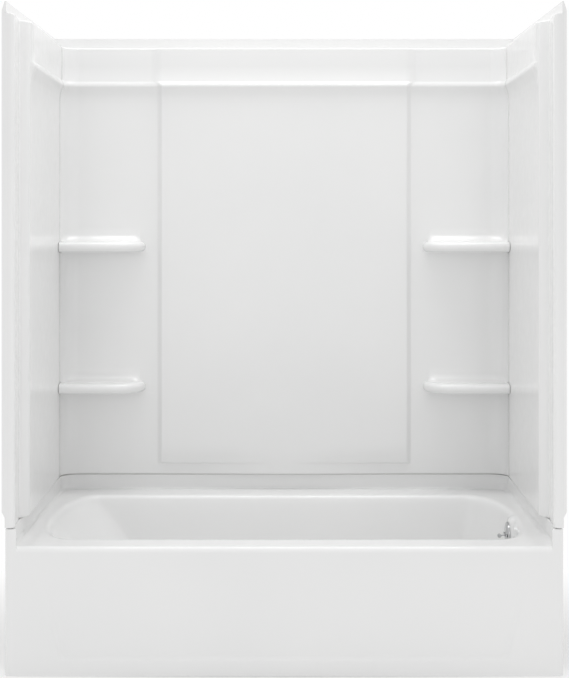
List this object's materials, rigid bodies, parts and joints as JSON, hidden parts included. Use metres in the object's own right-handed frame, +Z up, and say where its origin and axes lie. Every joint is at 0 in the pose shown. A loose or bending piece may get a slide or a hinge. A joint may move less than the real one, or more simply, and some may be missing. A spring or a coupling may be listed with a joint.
{
  "type": "tub and shower unit",
  "caption": "Alcove bath with apron and sloping backrest, three wall panels with moulded corner shelves and a frieze, and a trip-lever waste and overflow.",
  "frame": {"origin": "middle of the unit's outer box, on the floor", "axes": "+X along the bath towards its drain end, +Y from the apron towards the back wall, +Z up"},
  "size_m": [1.54, 0.762, 1.839],
  "materials": {
    "acrylic": "smooth white high-gloss moulded plastic",
    "foam": "closed-cell foam strip",
    "spring": "plain zinc-plated steel",
    "timber": "sawn softwood",
    "chrome": "polished chrome plate",
    "brass": "unpolished drawn and cast brass",
    "rubber": "black moulded rubber"
  },
  "bodies": {
    "unit": {"bath_shell": "acrylic", "left_end_wall": "acrylic", "right_end_wall": "acrylic", "back_wall": "acrylic", "base_seal_left": "foam", "base_seal_right": "foam", "base_seal_back": "foam", "seam_clip_left_1": "spring", "seam_clip_left_2": "spring", "seam_clip_left_3": "spring", "seam_clip_left_4": "spring", "seam_clip_right_1": "spring", "seam_clip_right_2": "spring", "seam_clip_right_3": "spring", "seam_clip_right_4": "spring", "floor_runner_front": "timber", "floor_runner_rear": "timber", "deck_post_left": "timber", "deck_post_right": "timber", "drain_flange": "chrome", "strainer": "chrome", "strainer_screw": "chrome", "shoe_gasket": "rubber", "drain_shoe": "brass", "waste_tee": "brass", "shoe_tube": "brass", "overflow_tube": "brass", "upper_slip_nut": "chrome", "upper_slip_washer": "rubber", "lower_slip_nut": "chrome", "lower_slip_washer": "rubber", "branch_slip_nut": "chrome", "branch_slip_washer": "rubber", "outlet_nut": "chrome", "tailpiece": "brass", "overflow_gasket": "rubber", "overflow_elbow": "brass", "overflow_plate": "chrome", "overflow_screw_front": "chrome", "overflow_screw_back": "chrome", "lever_pin": "spring"},
    "lever": {"trip_lever": "chrome"},
    "stopper": {"lift_rod": "brass", "plunger": "brass"}
  },
  "joints": [
    {"name": "lever_turn", "type": "hinge", "parent": "unit", "child": "lever", "pos_m": [0.67155, -0.01, 0.294], "axis": [0, 1, 0], "range_deg": [0, 34]},
    {"name": "stopper_slide", "type": "slide", "parent": "unit", "child": "stopper", "axis": [0, 0, -1], "range_m": [0, 0.02525]}
  ],
  "couplings": [
    {"joint": "stopper_slide", "follows": "lever_turn", "m_per_rad": 0.0425}
  ]
}
